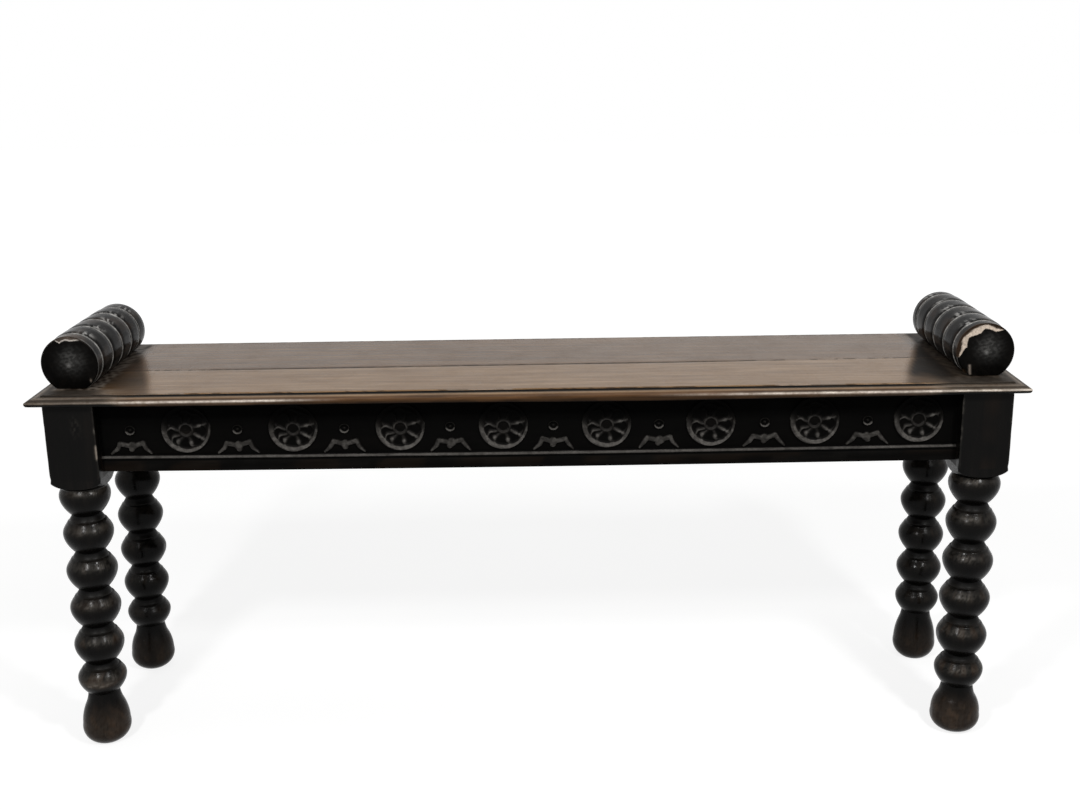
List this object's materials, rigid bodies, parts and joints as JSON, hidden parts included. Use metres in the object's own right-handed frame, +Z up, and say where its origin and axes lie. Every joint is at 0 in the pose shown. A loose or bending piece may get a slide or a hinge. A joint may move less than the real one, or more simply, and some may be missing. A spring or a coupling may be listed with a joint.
{
  "type": "hall bench",
  "caption": "Long narrow oak hall bench with a flat moulded top, a turned roll across each end, a carved front rail and bobbin turned legs.",
  "frame": {"origin": "on the floor under the middle of the top", "axes": "+X along the length to the viewer's right when facing the carved side, +Y from the carved front to the back, +Z up"},
  "size_m": [1.178, 0.284, 0.5275],
  "materials": {
    "dark_oak": "worn ebonised wax polish",
    "roll_oak": "worn ebonised wax polish",
    "seat_oak": "old waxed oak, rubbed",
    "hidden_wood": "bare planed wood",
    "nail_iron": "dull dark iron"
  },
  "bodies": {
    "root": {"leg_front_left": "dark_oak", "leg_front_right": "dark_oak", "leg_back_left": "dark_oak", "leg_back_right": "dark_oak", "front_rail": "dark_oak", "back_rail": "dark_oak", "left_end_rail": "dark_oak", "right_end_rail": "dark_oak", "left_roll": "roll_oak", "right_roll": "roll_oak", "seat_front_board": "seat_oak", "seat_back_board": "seat_oak", "seat_tongue": "hidden_wood", "glue_block_front_left": "hidden_wood", "glue_block_front_middle": "hidden_wood", "glue_block_front_right": "hidden_wood", "glue_block_back_left": "hidden_wood", "glue_block_back_middle": "hidden_wood", "glue_block_back_right": "hidden_wood", "glue_block_left_end": "hidden_wood", "glue_block_right_end": "hidden_wood", "seat_nails": "nail_iron", "left_roll_nails": "nail_iron", "right_roll_nails": "nail_iron"}
  },
  "joints": []
}
